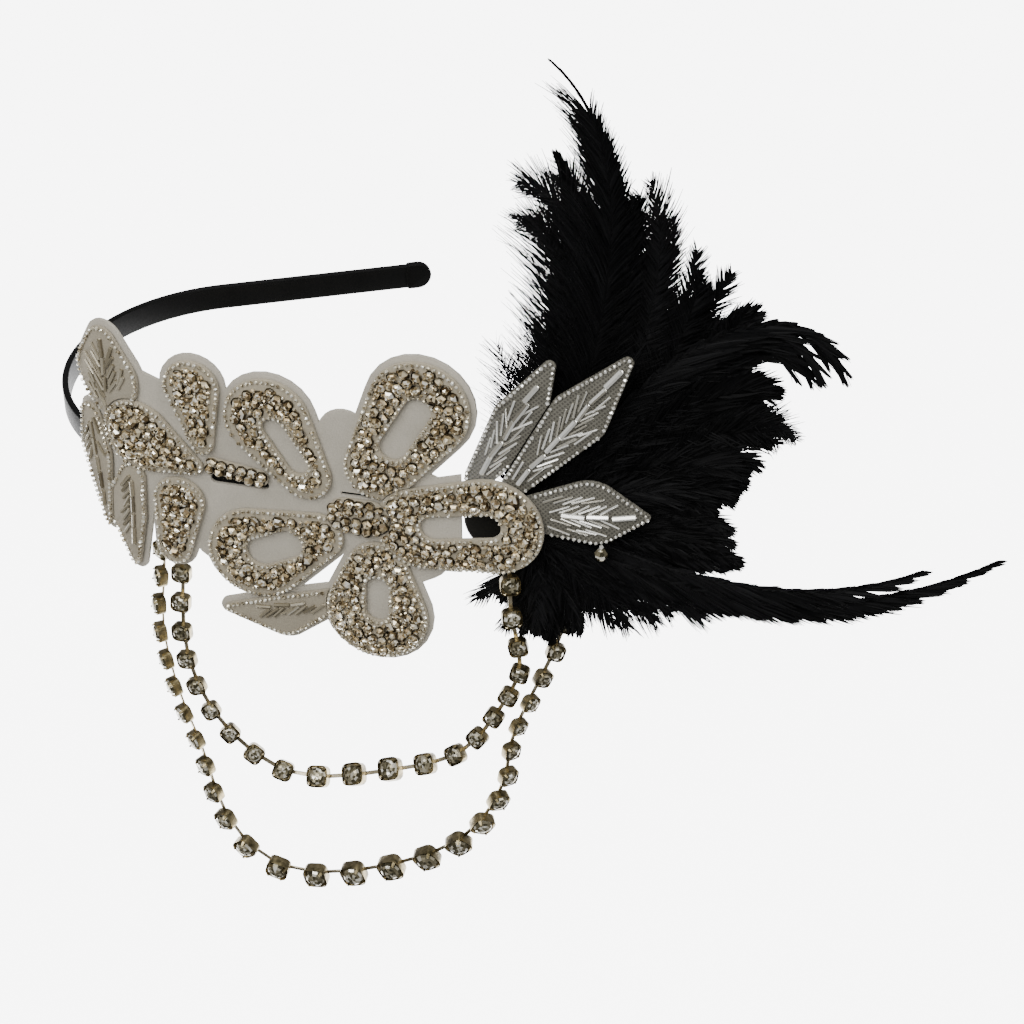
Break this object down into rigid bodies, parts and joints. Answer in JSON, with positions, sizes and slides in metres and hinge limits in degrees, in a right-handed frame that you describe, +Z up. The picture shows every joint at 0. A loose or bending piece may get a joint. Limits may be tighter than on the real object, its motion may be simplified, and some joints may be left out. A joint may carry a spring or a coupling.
{
  "type": "flapper feather headband",
  "caption": "Narrow satin headband with a flower of stones on felt, beaded leaves, two hanging cup-chain festoons and a black feather plume at one side.",
  "frame": {"origin": "centre of the round crown at the band's mid width, the middle of the head that wears it", "axes": "+Z up and across the band's width, -X towards the crown, +X towards the band's free ends, -Y towards the decorated leg"},
  "size_m": [0.3213, 0.2107, 0.3387],
  "materials": {
    "satin": "black satin ribbon wrapped on the band",
    "felt": "pale grey felt",
    "stones": "champagne glass stones in silver settings",
    "bugles": "silver-lined bugle beads",
    "net": "grey net with silver bugle beads",
    "chain": "brass cup chain with smoky stones",
    "feather": "black hackle and goose biot feathers"
  },
  "bodies": {
    "root": {"headband": "satin", "felt_backing": "felt", "petal_right": "stones", "petal_upper_right": "stones", "petal_upper_left": "stones", "petal_lower_left": "stones", "petal_bottom": "stones", "bud_left": "stones", "bud_upper": "stones", "bud_lower": "stones", "centre_cluster": "stones", "stem_stones": "stones", "leaf_upper_left": "bugles", "leaf_lower_left": "bugles", "leaf_lower_mid": "bugles", "leaf_bottom": "bugles", "leaf_right_top": "net", "leaf_right_middle": "net", "leaf_right_low": "net", "drop_bead": "stones", "chain_inner": "chain", "chain_outer": "chain", "feather_plume": "feather"}
  },
  "joints": []
}
